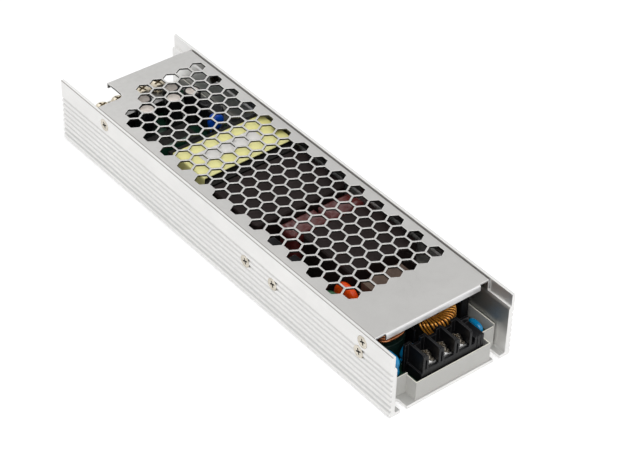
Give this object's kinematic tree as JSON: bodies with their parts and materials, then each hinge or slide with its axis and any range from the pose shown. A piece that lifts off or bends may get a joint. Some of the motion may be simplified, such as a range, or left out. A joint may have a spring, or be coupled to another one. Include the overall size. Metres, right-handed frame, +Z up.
{
  "type": "enclosed switching power supply",
  "caption": "Slim fanless switching power supply in a finned extruded channel with a honeycomb cover, input barrier terminals at one end and output screws at the other.",
  "frame": {"origin": "middle of the underside of the case", "axes": "+Y along the case towards the output end, +X across it, +Z up through the cover"},
  "size_m": [0.062, 0.226, 0.031],
  "materials": {
    "bare_aluminium": "satin",
    "bare_extrusion": "satin",
    "black_epoxy": "satin",
    "black_moulding": "matte",
    "blue_epoxy": "gloss",
    "board_laminate": "satin",
    "brass_plate": "satin",
    "brown_case": "satin",
    "brown_ferrite": "matte",
    "can_aluminium": "satin",
    "coated_core": "matte",
    "copper_enamel_wire": "gloss",
    "cover_sheet": "satin",
    "deep_blue_epoxy": "gloss",
    "ferrite": "matte",
    "gold_enamel_wire": "gloss",
    "green_epoxy": "gloss",
    "grey_case": "matte",
    "maroon_epoxy": "gloss",
    "nickel_screw": "satin",
    "pad_silicone": "matte",
    "red_epoxy": "gloss",
    "screw_steel": "satin",
    "spring_steel": "satin",
    "tinned_metal": "satin",
    "tray_plastic": "matte",
    "yellow_tape": "satin"
  },
  "bodies": {
    "root": {"case_body": "bare_extrusion", "top_cover": "cover_sheet", "insulating_tray": "tray_plastic", "circuit_board": "board_laminate", "board_standoffs": "brass_plate", "board_screws": "screw_steel", "cover_screws": "nickel_screw", "clamp_screws": "nickel_screw", "bridge_nut": "screw_steel", "terminal_block": "black_moulding", "terminal_plates": "tinned_metal", "terminal_screws": "nickel_screw", "line_choke_base": "black_moulding", "line_choke_core": "ferrite", "line_choke_winding": "gold_enamel_wire", "input_choke_core": "coated_core", "input_choke_winding": "copper_enamel_wire", "filter_choke_core": "brown_ferrite", "filter_choke_windings": "copper_enamel_wire", "y_capacitors": "blue_epoxy", "x_capacitor": "black_epoxy", "varistor": "red_epoxy", "thermistor": "green_epoxy", "fuse": "brown_case", "bridge_rectifier": "black_epoxy", "thermal_pads": "pad_silicone", "heat_spreader": "bare_aluminium", "power_transistors": "black_epoxy", "transistor_clips": "spring_steel", "link_capacitor": "grey_case", "film_capacitors": "maroon_epoxy", "boost_choke": "grey_case", "transformer_core_front": "ferrite", "transformer_core_rear": "ferrite", "transformer_winding": "yellow_tape", "transformer_tape": "yellow_tape", "transformer_rails": "black_moulding", "control_board": "board_laminate", "control_chips": "black_epoxy", "safety_capacitor": "deep_blue_epoxy", "output_choke": "ferrite", "output_capacitors": "can_aluminium", "output_base": "black_moulding", "output_bars": "tinned_metal", "output_screws": "brass_plate"}
  },
  "joints": []
}
